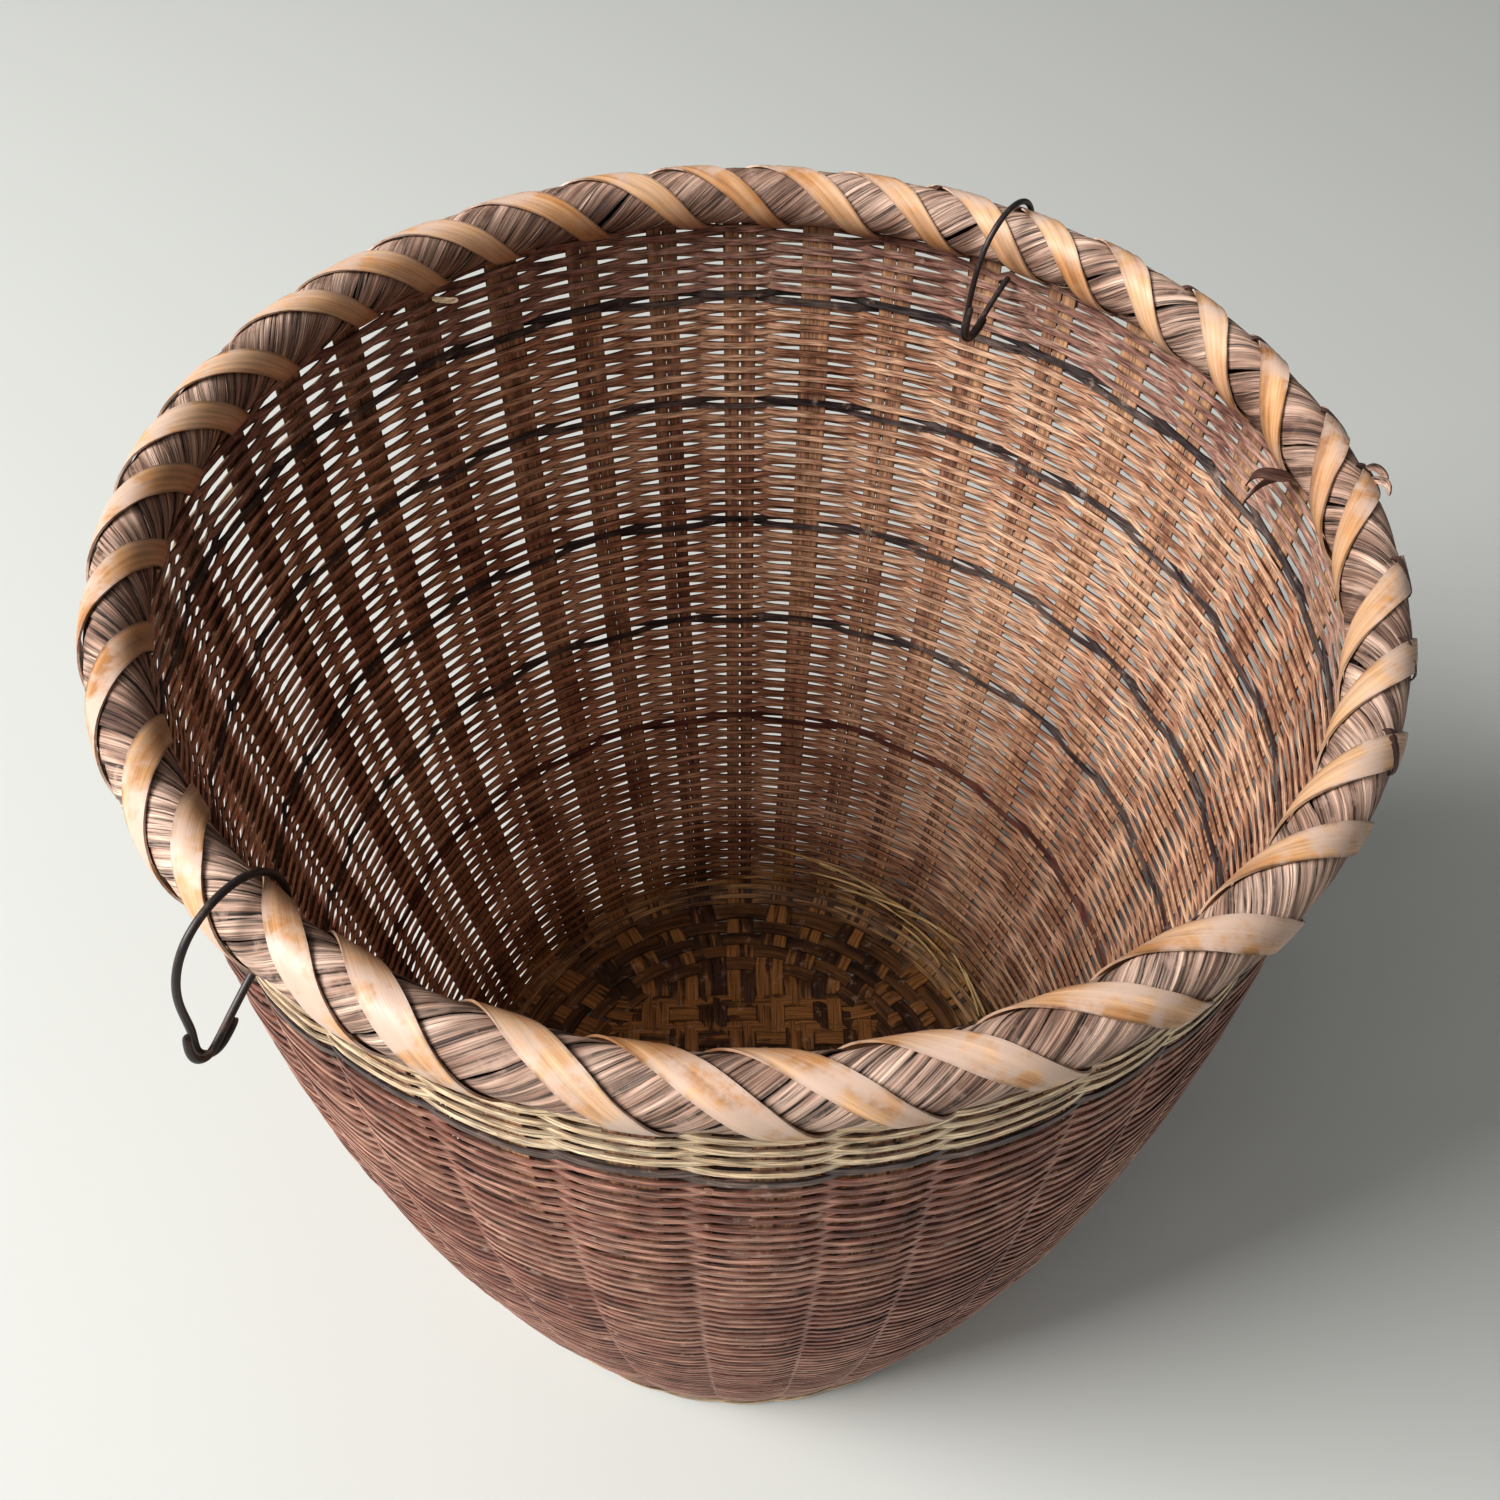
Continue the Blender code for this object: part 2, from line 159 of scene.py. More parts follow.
def profile(along):
    """Radius and height at a distance along the profile, and the outward normal there."""
    nudge = 0.0004
    radius = np.interp(along, ALONG, PROFILE_RADIUS)
    height = np.interp(along, ALONG, PROFILE_HEIGHT)
    run = np.interp(along + nudge, ALONG, PROFILE_RADIUS) - np.interp(along - nudge, ALONG, PROFILE_RADIUS)
    rise = np.interp(along + nudge, ALONG, PROFILE_HEIGHT) - np.interp(along - nudge, ALONG, PROFILE_HEIGHT)
    size = np.hypot(run, rise)
    return radius, height, rise / size, -run / size


def along_at(height):
    """Distance along the profile at which the wall reaches a height."""
    return np.interp(height, PROFILE_HEIGHT[2:], ALONG[2:])


def seeded(seed):
    """Random draws that come out the same in every run."""
    return np.random.default_rng(seed)


def stake_shifts():
    """Hand-woven stakes stand unevenly; those beside the wire rings' holes keep their place."""
    shifts = MOST_SHIFT * seeded(SHIFT_SEED).uniform(-1, 1, STAKES)
    for ring in (OUTSIDE_RING_ANGLE, INSIDE_RING_ANGLE):
        left = int(ring / STAKE_STEP)
        shifts[[left % STAKES, (left + 1) % STAKES]] = 0.0
    return shifts


MOST_SHIFT = radians(1.05)
STAKE_SHIFTS = stake_shifts()
LOOSE_SIDE = radians(155)       # the weave is loosest on this side
GAP_LEANS = seeded(LEAN_SEED).uniform(-0.45, 0.45, STAKES)
LOOSENESS = seeded(LOOSENESS_SEED).uniform(0.70, 1.05, STAKES)
LOOSENESS += 0.22 * np.cos(np.arange(STAKES) * STAKE_STEP - LOOSE_SIDE)
SHIFT_FROM = 0.004              # stakes shift from this height on, in full over this rise
SHIFT_RISE = 0.06


def by_stake(values, angle):
    """A value that each stake has, eased from one stake to the next."""
    place = np.mod(angle, 2 * pi) / STAKE_STEP
    low = np.floor(place).astype(int)
    share = smooth_step(place - low)
    return values[low % STAKES] * (1 - share) + values[(low + 1) % STAKES] * share


def stake_drift(angle, height):
    """Turn of everything that stands or is woven at an angle, eased from one stake to the next."""
    drift = by_stake(STAKE_SHIFTS, angle)
    lean = 1 + 0.35 * np.sin(height * 9 + 5 * drift / radians(1))
    return drift * lean * smooth_step((height - SHIFT_FROM) / SHIFT_RISE)


# ---------------------------------------------------------------- openings in the weave
# Azimuth, height, half length along the row, half opening, reach up and down the wall
PARTINGS = (
    (OUTSIDE_RING_ANGLE, RIM_HEIGHT - WIRE_DROP, 0.0045, 0.0018, 0.010),
    (INSIDE_RING_ANGLE, RIM_HEIGHT - WIRE_DROP, 0.0045, 0.0018, 0.010),
    (radians(64.5), 0.0425, 0.0045, 0.0019, 0.006),
    (radians(54.5), 0.0385, 0.0055, 0.0019, 0.006),
    (radians(50.5), RIM_HEIGHT - 0.0155, 0.0240, 0.0020, 0.004),
    (radians(49.5), 0.0250, 0.0055, 0.0020, 0.005),
    (radians(41.0), 0.0165, 0.0065, 0.0026, 0.005),
)


def angle_between(angle, other):
    """Turn from one azimuth to another, the short way round."""
    return np.angle(np.exp(1j * (angle - other)))


def parting_shift(angle, height):
    """How far up or down a weft is pushed beside an opening in the weave."""
    shift = np.zeros_like(angle)
    for centre, level, half_length, opening, reach in PARTINGS:
        apart = angle_between(angle, centre) * wall_radius(level)
        rise = height - level
        side = np.where(rise >= 0, 1.0, -1.0)
        shift += side * opening * np.exp(-(apart / half_length) ** 2) * np.exp(-np.abs(rise) / reach)
    return shift


# ---------------------------------------------------------------- strips as bent grids
def new_object(name, data):
    """Object of a mesh, light or camera, put into the scene."""
    obj = bpy.data.objects.new(name, data)
    bpy.context.scene.collection.objects.link(obj)
    return obj


def strips(name, count, steps, across, place, thickness, tones):
    """A piece of many flat strips.  Each starts as a plain grid and is bent into place.

    place(number, u, v) gets each point's strip number, its share of the length from 0 to 1 and
    its side from -1 to 1.  It returns the points, and the distances along and across the strip.
    """
    grid = bmesh.new()
    bmesh.ops.create_grid(grid, x_segments=steps, y_segments=across, size=1.0)
    for edge in grid.edges:
        edge.smooth = not edge.is_boundary
    flat = bpy.data.meshes.new(name + "_grid")
    grid.to_mesh(flat)
    grid.free()
    per_strip = len(flat.vertices)
    bm = bmesh.new()
    for _ in range(count):
        bm.from_mesh(flat)
    mesh = bpy.data.meshes.new(name)
    bm.to_mesh(mesh)
    bm.free()
    bpy.data.meshes.remove(flat)
    total = len(mesh.vertices)
    spots = np.empty(total * 3, np.float32)
    mesh.vertices.foreach_get("co", spots)
    spots = spots.reshape(-1, 3)
    number = np.arange(total) // per_strip
    points, along, side = place(number, (spots[:, 0] + 1) / 2, spots[:, 1])
    mesh.vertices.foreach_set("co", points.astype(np.float32).ravel())
    corners = np.empty(len(mesh.loops), np.int32)
    mesh.loops.foreach_get("vertex_index", corners)
    uv = np.column_stack([along + number * 0.37, side + number * 0.11])[corners]
    mesh.uv_layers.new(name="strip").data.foreach_set("uv", uv.astype(np.float32).ravel())
    for label, values in (("tone", tones[number]), ("edge", spots[:, 1])):
        mesh.attributes.new(label, "FLOAT", "POINT").data.foreach_set("value", values.astype(np.float32))
    mesh.polygons.foreach_set("use_smooth", np.ones(len(mesh.polygons), bool))
    mesh.update()
    obj = new_object(name, mesh)
    solid = obj.modifiers.new("thickness", "SOLIDIFY")
    solid.thickness = thickness
    solid.offset = 0.0
    return obj


def cylinder_points(radius, angle, height):
    """World points from radius, azimuth and height."""
    return np.column_stack([radius * np.cos(angle), radius * np.sin(angle), height])


def dress(obj, material):
    """Give a piece its one material."""
    obj.data.materials.clear()
    obj.data.materials.append(material)


def finish(obj, material, slot, *nodes):
    """Give a piece its material and its body, and hide the nodes it stands for; the slot is not used."""
    dress(obj, material)
    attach(obj, BODY)
    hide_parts(*nodes)
    return obj


# ---------------------------------------------------------------- wefts
def weft_wave(angle, parity):
    """Side on which a weft passes: 1 outside a stake, -1 inside, flat while it passes."""
    turn = angle * STAKES / 2
    gap = np.floor(np.mod(angle, 2 * pi) / STAKE_STEP).astype(int) % STAKES
    turn = turn + GAP_LEANS[gap] * np.sin(turn) ** 2
    return parity * (np.cos(turn) - 0.10 * np.cos(3 * turn)) / 0.90


def tucked_end(u, overlap):
    """How far the end of a strip that goes once round is tucked in, from 0 to 1 over its overlap."""
    return smooth_step((u - 1) * (2 * pi + overlap) / overlap + 1)


def weave_rows(name, levels, first_number, seed):
    """Rows of weft at the given distances along the profile, each one strip round the wall."""
    rng = seeded(seed)
    count = len(levels)
    levels = np.array(levels)
    start = rng.uniform(0, 2 * pi, count)
    parity = np.where((first_number + np.arange(count)) % 2 == 0, 1.0, -1.0)
    sway = rng.uniform(-1, 1, (count, 6))
    width = WEFT_WIDTH * rng.uniform(0.93, 1.05, count)

    def place(number, u, v):
        angle = start[number] + u * (2 * pi + WEFT_OVERLAP)
        along = levels[number]
        for index, (size, waves, shift) in enumerate(ROW_WOBBLES):
            turn = waves * angle + shift * sway[number, 2 * index + 1]
            along = along + size * sway[number, 2 * index] * np.sin(turn)
        passes = weft_wave(angle, parity[number])
        half = width[number] / 2 * (1.03 - 0.06 * np.abs(passes))
        _, height, _, _ = profile(along)
        along = along + parting_shift(angle, height) + v * half
        radius, height, out, up = profile(along)
        tuck = tucked_end(u, WEFT_OVERLAP) * WEFT_TUCK
        high_up = smooth_step((height - LOOSER_FROM) / LOOSER_RISE)
        wave = FOOT_WAVE + (WEFT_WAVE * by_stake(LOOSENESS, angle) - FOOT_WAVE) * high_up
        wave = wave * (1 + 0.20 * sway[number, 5] * np.sin(9 * angle + 7 * sway[number, 3]))
        offset = passes * wave + WEFT_CROWN * (1 - v * v) - tuck
        turned = angle + stake_drift(angle, height)
        points = cylinder_points(radius + out * offset, turned, height + up * offset)
        return points, angle * levels[number], v * half

    return strips(name, count, STAKES * STEPS_PER_STAKE, 2, place, WEFT_THICKNESS, rng.uniform(0, 1, count))


def weave_wall(finishes):
    """Bands of fine weft with the dark rings between them."""
    number = 0
    low = HEEL_START - WEFT_PITCH * 0.1
    darks = {0: "old_dark_weft", DARK_RINGS - 1: "top_dark_weft"}
    for index in range(DARK_RINGS + 1):
        is_top = index == DARK_RINGS
        ring = None if is_top else float(along_at(RING_HEIGHTS[index]))
        high = float(along_at(WEAVE_TOP)) if is_top else ring - WEFT_PITCH * 1.5
        count = round((high - low) / WEFT_PITCH) + 1
        levels = np.linspace(low, high, count)
        band = DARK_RINGS + 1 - index
        piece = weave_rows(f"weft_rows_{band}", levels, number, BAND_SEED + index)
        key = "top_weft_bamboo" if is_top else "weft_bamboo"
        finish(piece, finishes[key], key, f"weft_band_{band}")
        number += count
        if is_top:
            break
        levels = [ring - WEFT_PITCH / 2, ring + WEFT_PITCH / 2]
        piece = weave_rows(f"dark_rows_{band - 1}", levels, number, DARK_RING_SEED + index)
        dark = finishes[darks.get(index, "dark_weft")]
        finish(piece, dark, "dark_weft", f"dark_ring_{band - 1}")
        number += 2
        low = ring + WEFT_PITCH * 1.5


# ---------------------------------------------------------------- splints: base and stakes
def checker(first, second):
    """Two-over, two-under order of the square: 1 where the first strip lies on top."""
    return np.where((first + second) % 4 < 2, 1.0, -1.0)


def over_under(column, row, flip):
    """Smooth rise and fall of a strip along the crossings of the square."""
    low = np.floor(column)
    share = smooth_step((column - low - 0.25) / 0.5)
    here = checker(low.astype(int), row)
    there = checker(low.astype(int) + 1, row)
    return flip * (here * (1 - share) + there * share)


def half_path(number):
    """Plan of a splint pair from the middle of the base to the heel: points and distances."""
    side = number * BASE_STRIP_PITCH * 2
    angle = number * STAKE_STEP
    bend = np.array([np.sqrt(SQUARE_REACH ** 2 - side ** 2), side])
    heel = np.array([cos(angle), sin(angle)]) * HEEL_START
    raw = np.vstack([np.linspace([0, side], bend, SQUARE_POINTS), np.linspace(bend, heel, FAN_POINTS)[1:]])
    kernel = np.ones(SMOOTHED_POINTS) / SMOOTHED_POINTS
    extra = SMOOTHED_POINTS // 2
    padded = np.vstack([np.repeat(raw[:1], extra, 0), raw, np.repeat(raw[-1:], extra, 0)])
    smooth = np.column_stack([np.convolve(padded[:, axis], kernel, "valid") for axis in (0, 1)])
    smooth[0] = raw[0]
    smooth[-1] = raw[-1]
    steps = np.hypot(*np.diff(smooth, axis=0).T)
    return np.concatenate([[0], np.cumsum(steps)]), smooth


def base_rise(number, stake, side, end, x, y, set_flip):
    """Rise and fall of a splint, from -1 to 1, over the square's crossings and then the rounds."""
    column = x / BASE_STRIP_PITCH + PER_SET - 0.5
    column = np.where(end > 0, column, 2 * PER_SET - 1 - column)
    row = (number + PER_SET // 2) * 2 + np.where(side > 0, 1, 0)
    in_square = over_under(column, row, set_flip)
    ring = (np.hypot(x, y) - ROUND_FIRST) / ROUND_PITCH
    low = np.floor(ring)
    share = smooth_step((ring - low - 0.2) / 0.6)
    in_rounds = np.where((low + stake) % 2 == 0, 1.0, -1.0) * (1 - 2 * share)
    beyond = smooth_step((ring + 1.2) / 0.8)
    return in_square * (1 - beyond) + in_rounds * beyond


def splint_pair(name, number, along_x, seed):
    """Two strips side by side: up one wall, across the base, up the other wall."""
    rng = seeded(seed)
    angle = number * STAKE_STEP
    reach, plan = half_path(number)
    flat_length = reach[-1]
    wall_length = along_at(RIM_HEIGHT - SPLINT_END) - HEEL_START
    length = flat_length + wall_length
    set_flip = 1.0 if along_x else -1.0
    first_stake = number if along_x else number + PER_SET
    stake_widths = STAKE_WIDTH * rng.uniform(0.92, 1.20, (2, 2))
    stake_gaps = STAKE_GAP + MOST_SPLIT * rng.uniform(0, 1, 2) ** 4
    base_widths = BASE_STRIP_WIDTH * rng.uniform(0.95, 1.0, 2)
    sways = rng.uniform(-1, 1, 2)

    def place(index, u, v):
        signed = (u * 2 - 1) * length
        far = np.abs(signed)
        end = np.where(signed >= 0, 1.0, -1.0)
        side = np.where(index == 0, -1.0, 1.0)
        on_base = np.minimum(far, flat_length)
        x = np.interp(on_base, reach, plan[:, 0])
        y = np.interp(on_base, reach, plan[:, 1])
        ahead = np.minimum(on_base + 0.001, flat_length)
        behind = np.maximum(ahead - 0.002, 0)
        tx = np.interp(ahead, reach, plan[:, 0]) - np.interp(behind, reach, plan[:, 0])
        ty = np.interp(ahead, reach, plan[:, 1]) - np.interp(behind, reach, plan[:, 1])
        heading = np.arctan2(ty, tx)
        climb = np.maximum(far - flat_length, 0)
        radius, height, _, _ = profile(HEEL_START + climb)
        turned = smooth_step((far - flat_length + NARROW_FROM) / NARROW_OVER)
        heading = heading * (1 - turned) + angle * turned
        far_end = (end < 0).astype(int)
        stake_width = stake_widths[index, far_end]
        spread = BASE_STRIP_PITCH / 2 * (1 - turned) + (stake_width + stake_gaps[far_end]) / 2 * turned
        half = base_widths[index] / 2 * (1 - turned) + stake_width / 2 * turned
        sideways = side * spread + v * half
        stake = np.where(end > 0, first_stake, first_stake + STAKES // 2)
        wave = base_rise(number, stake, side, end, x, y, set_flip) * (1 - smooth_step(climb / FLAT_OVER))
        is_wall = far > flat_length
        plan_x = np.where(is_wall, radius * np.cos(angle), x)
        plan_y = np.where(is_wall, radius * np.sin(angle), y)
        plan_x = plan_x - np.sin(heading) * sideways
        plan_y = plan_y + np.cos(heading) * sideways
        crown = BASE_CROWN * (1 - v * v)
        z = np.where(is_wall, height, BASE_LAYER) + wave * BASE_WAVE + np.where(is_wall, 0, crown)
        plan_x = plan_x * end
        drift = stake_drift(stake * STAKE_STEP, z) * is_wall
        shifted_x = plan_x * np.cos(drift) - plan_y * np.sin(drift)
        shifted_y = plan_x * np.sin(drift) + plan_y * np.cos(drift)
        sway = sways[index] * SPLINT_SWAY * np.sin(signed * 31 + index)
        shifted_y = shifted_y + sway * (1 - turned)
        if not along_x:
            shifted_x, shifted_y = -shifted_y, shifted_x
        return np.column_stack([shifted_x, shifted_y, z]), signed, sideways

    steps = int(length * 2 / SPLINT_STEP)
    return strips(name, 2, steps, 3, place, STAKE_THICKNESS, rng.uniform(0, 1, 2))


ROUNDS = 5
ROUND_PITCH = 0.0087
ROUND_FIRST = 0.0960
ROUND_WIDTH = 0.0080
ROUND_WAVE = 0.00085
ROUND_CROWN = 0.00012
ROUND_SWAY = 0.0005
ROUND_OVERLAP = radians(9)
ROUND_TUCK = 0.00048
LOWEST_ROUND = 0.00045      # a round's middle line stays at least this far above the floor


def base_round(name, index, seed):
    """A wide strip woven once round the base, over one pair and under the next."""
    rng = seeded(seed)
    start = rng.uniform(0, 2 * pi)
    middle = ROUND_FIRST + index * ROUND_PITCH
    flip = 1.0 if index % 2 == 0 else -1.0

    def place(number, u, v):
        angle = start + u * (2 * pi + ROUND_OVERLAP)
        passes = -weft_wave(angle, flip)
        half = ROUND_WIDTH / 2 * (1 + 0.05 * np.sin(angle * 9 + index))
        radius = middle + v * half + ROUND_SWAY * np.sin(angle * 4 + index * 2)
        height = BASE_LAYER + passes * ROUND_WAVE + ROUND_CROWN * (1 - v * v)
        height = height - tucked_end(u, ROUND_OVERLAP) * ROUND_TUCK
        return cylinder_points(radius, angle, np.maximum(height, LOWEST_ROUND)), angle * middle, v * half

    return strips(name, 1, STAKES * STEPS_PER_STAKE, 3, place, STAKE_THICKNESS, rng.uniform(0, 1, 1))


# ---------------------------------------------------------------- rim
BARK_HALF_WIDTH = 0.0088
BARK_HALF_HEIGHT = 0.0107
BARK_STRIPS = 84
BARK_WIDTH = 0.0106
BARK_THICKNESS = 0.0005
BARK_LIFT = 0.00032         # one side of a bark strip lies over the next strip
BARK_SLANT = radians(23.0)
TAN_HALF_WIDTH = 0.0104
TAN_HALF_HEIGHT = 0.0122
TAN_STRIPS = 34
TAN_WIDTH = 0.0097
TAN_THICKNESS = 0.0007
TAN_FIRST = radians(94.4)
TAN_SLANT = radians(20.0)
TIE_SIDE = radians(12)      # the narrow ties are on this side of the rim, this far each way
TIE_REACH = radians(52)
TIE_TURN = 2.35             # turn of the section where a tie crosses its lashing strip
TIE_SPAN = (1.92, 2.78)
TIE_RISE = 0.0003
TIE_DIP = 0.0021
TIE_THICKNESS = 0.0004
WHOLE_SPAN = (0.12, 2 * pi - 0.12)
SECTION_POINTS = 241
BARK_STEPS = 26
TAN_STEPS = 40
TIE_STEPS = 18
STRIP_CROWN = 0.00015
RIM_SLOT = 0.00096          # a strip stops this far short of the seam under the rim


def bark_path(turn):
    """Azimuth of a bark strip at a turn round the rim's section, from its place on top."""
    return BARK_SLANT * (turn - pi) / (2 * pi)


def tan_path(turn):
    """Azimuth of a lashing strip; it lies flatter over the top than under the rim."""
    return -TAN_SLANT * (turn - pi) / (2 * pi) + radians(1.25) * np.sin(turn)


def section_run(half_width, half_height):
    """Turns round the rim's oval section, from below by the outer side, and distances there."""
    turns = np.linspace(0, 2 * pi, SECTION_POINTS)
    x = half_width * np.sin(turns)
    z = -half_height * np.cos(turns)
    return turns, np.concatenate([[0], np.cumsum(np.hypot(np.diff(x), np.diff(z)))])


def rim_strips(name, anchors, widths, path, oval, span, thickness, lift, steps, seed, dip=0.0):
    """Strips laid slantwise round the rim's roll, each over a span of the section's turn."""
    rng = seeded(seed)
    count = len(anchors)
    turns, run = section_run(*oval)
    jitter = rng.uniform(-1, 1, (count, 4))
    begin = np.interp(span[0], turns, run)
    length = np.interp(span[1], turns, run) - begin

    def place(number, u, v):
        distance = begin + u * length
        turn = np.interp(distance, run, turns)
        nudge = 0.02
        slope = (path(turn + nudge) - path(turn - nudge)) * RIM_RADIUS
        climb = np.interp(turn + nudge, turns, run) - np.interp(turn - nudge, turns, run)
        size = np.hypot(slope, climb)
        fray = 0.05 * jitter[number, 0] * np.sin(u * 17 + 9 * jitter[number, 1])
        fray += 0.03 * jitter[number, 2] * np.sin(u * 41 + 9 * jitter[number, 3])
        half = widths[number] / 2 * (1 + fray)
        sideways = v * half * climb / size
        distance = distance - v * half * slope / size
        turn_here = np.interp(np.clip(distance, RIM_SLOT, run[-1] - RIM_SLOT), run, turns)
        puff = 1 + 0.012 * np.sin(u * 5 + number * 1.7) + 0.010 * jitter[number, 1]
        rise = lift * v + STRIP_CROWN * (1 - v * v) - dip * (2 * u - 1) ** 8
        out = (oval[0] * puff + rise) * np.sin(turn_here)
        up = -(oval[1] * puff + rise) * np.cos(turn_here)
        angle = anchors[number] + path(turn) + sideways / RIM_RADIUS
        points = cylinder_points(RIM_RADIUS + out, angle, RIM_HEIGHT + up)
        return points, u * length * 1.3, v * half

    return strips(name, count, steps, 4, place, thickness, rng.uniform(0, 1, count))


def bind_rim(finishes):
    """Bark wrapping, tan lashing over it, and the narrow bark ties over the lashing."""
    rng = seeded(RIM_SEED)
    bark = (np.arange(BARK_STRIPS) + rng.uniform(-0.16, 0.16, BARK_STRIPS)) * 2 * pi / BARK_STRIPS
    widths = BARK_WIDTH * rng.uniform(0.88, 1.06, BARK_STRIPS)
    piece = rim_strips("bark_wrapping", bark, widths, bark_path, (BARK_HALF_WIDTH, BARK_HALF_HEIGHT),
                       WHOLE_SPAN, BARK_THICKNESS, BARK_LIFT, BARK_STEPS, RIM_SEED + 1)
    finish(piece, finishes["wrap_bark"], "wrap_bark", "rim_wrap")
    lashing = TAN_FIRST + (np.arange(TAN_STRIPS) + rng.uniform(-0.13, 0.13, TAN_STRIPS)) * 2 * pi / TAN_STRIPS
    widths = TAN_WIDTH * rng.uniform(0.90, 1.06, TAN_STRIPS)
    for half, letter in enumerate("ab"):
        piece = rim_strips(f"tan_lashing_{letter}", lashing[half::2], widths[half::2], tan_path,
                           (TAN_HALF_WIDTH, TAN_HALF_HEIGHT), WHOLE_SPAN, TAN_THICKNESS, 0.0,
                           TAN_STEPS, RIM_SEED + 2 + half)
        finish(piece, finishes["lashing_bamboo"], "lashing_bamboo", f"rim_lashing_{letter}")
    away = np.abs(angle_between(lashing, TIE_SIDE))
    tied = np.flatnonzero(rng.uniform(0, 1, TAN_STRIPS) < np.where(away < TIE_REACH, 0.9, 0.0))
    anchors = lashing[tied] + tan_path(TIE_TURN) - bark_path(TIE_TURN)
    piece = rim_strips("bark_ties", anchors, rng.uniform(0.0040, 0.0054, len(tied)), bark_path,
                       (TAN_HALF_WIDTH + TIE_RISE, TAN_HALF_HEIGHT + TIE_RISE), TIE_SPAN,
                       TIE_THICKNESS, 0.0, TIE_STEPS, RIM_SEED + 4, TIE_DIP)
    finish(piece, finishes["tie_bark"], "wrap_bark")


# ---------------------------------------------------------------- foot strand and wires
STRAND_INSET = 0.0018       # middle of the foot strand, inside its outer side
STRAND_TWIST = 0.0008
STRAND_HALF_WIDTH = 0.0009
STRAND_THICKNESS = 0.0008
WIRE_SWELL = 0.00004
WIRE_DENT = 0.00003
SAME_PLACE = 0.00001
FLAT_ENOUGH = 0.6           # triangles of the wire that meet at less than this angle are one face


def foot_strand(name, seed):
    """Pale strand of two thin strips twisted together along the outside of the foot."""
    low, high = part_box("foot_strand")
    middle = (low.z + high.z) / 2
    radius = high.x / cos(STAKE_STEP / 2) - STRAND_INSET

    def place(number, u, v):
        angle = u * 2 * pi
        twist = angle * STAKES / 2 + number * pi
        out = STRAND_TWIST * np.cos(twist)
        up = STRAND_TWIST * np.sin(twist)
        sideways = v * STRAND_HALF_WIDTH
        return cylinder_points(radius + out, angle, middle + up + sideways), angle * radius, sideways

    return strips(name, 2, STAKES * 10, 2, place, STRAND_THICKNESS, seeded(seed).uniform(0, 1, 2))


def wire_ring(side, material):
    """Bent iron wire: a rounder, slightly hammered copy of the ring in the frame."""
    name = f"wire_ring_{side}"
    bm = bmesh.new()
    bm.from_mesh(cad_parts[name].data)
    bmesh.ops.remove_doubles(bm, verts=bm.verts[:], dist=SAME_PLACE)
    bmesh.ops.join_triangles(bm, faces=bm.faces[:], angle_face_threshold=FLAT_ENOUGH,
                             angle_shape_threshold=FLAT_ENOUGH)
    bm.normal_update()
    for vert in bm.verts:
        dent = sin(vert.co.x * 900) + sin(vert.co.z * 1300 + vert.co.y * 700)
        vert.co += vert.normal * (WIRE_SWELL + WIRE_DENT * dent)
    mesh = bpy.data.meshes.new(name + "_wire")
    bm.to_mesh(mesh)
    bm.free()
    mesh.polygons.foreach_set("use_smooth", np.ones(len(mesh.polygons), bool))
    obj = new_object(f"iron_ring_{side}", mesh)
    dress(obj, material)
    round_off = obj.modifiers.new("rounded", "SUBSURF")
    round_off.levels = 2
    round_off.render_levels = 2
    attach(obj, f"ring_{side}")
    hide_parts(name)


# ---------------------------------------------------------------- damage
def loose_strips(name, bends, width, thickness, lift, seed):
    """Broken ends that stand free.  Each bend is three places: azimuth in degrees, radius, height.

    lift tilts the strip: its sides then differ in radius more than in height.
    """
    rng = seeded(seed)
    bends = np.array(bends)
    bends[:, :, 0] = np.radians(bends[:, :, 0])
    turned = rng.uniform(-1, 1, len(bends))

    def place(number, u, v):
        route = bend_through(bends[number, 0], bends[number, 1], bends[number, 2], u[:, None])
        taper = np.minimum(1, (1 - u) * 6 + 0.35) * np.minimum(1, u * 6 + 0.35)
        half = width / 2 * taper
        radius = route[:, 1] + lift * v * half
        height = route[:, 2] + (1 - abs(lift)) * v * half + 0.0004 * turned[number] * np.sin(u * 7)
        return cylinder_points(radius, route[:, 0], height), u * 0.06, v * half

    return strips(name, len(bends), 16, 3, place, thickness, rng.uniform(0, 1, len(bends)))


# Azimuth in degrees and height where each broken weft leaves the wall, and where it ends
BROKEN_WEFTS = (
    (86, 0.038, 68, 0.029),
    (76, 0.032, 55, 0.028),
    (75, 0.022, 50, 0.026),
    (68, 0.018, 52, 0.022),
    (66, 0.016, 37, 0.031),
    (57, 0.018, 35, 0.017),
    (52, 0.020, 34, 0.035),
    (50, 0.012, 37, 0.011),
    (36, 0.021, 22, 0.009),
    (32, 0.019, 21, 0.012),
)
# Three places of each loose piece at the rim: azimuth in degrees, radius and height
CURLS_INSIDE = (
    ((9.8, 0.1925, 0.4300), (11.6, 0.1800, 0.4335), (13.8, 0.1850, 0.4180)),
    ((11.5, 0.1960, 0.4270), (12.6, 0.1880, 0.4240), (14.5, 0.1885, 0.4080)),
)
CURLS_OUTSIDE = (
    ((4.6, 0.2050, 0.4490), (3.8, 0.2095, 0.4522), (2.8, 0.2107, 0.4478)),
    ((3.4, 0.2058, 0.4478), (2.6, 0.2100, 0.4505), (1.7, 0.2109, 0.4462)),
)
WEFT_END = (
    ((130.0, 0.1890, 0.4275), (128.8, 0.1865, 0.4262), (127.2, 0.1850, 0.4255)),
)


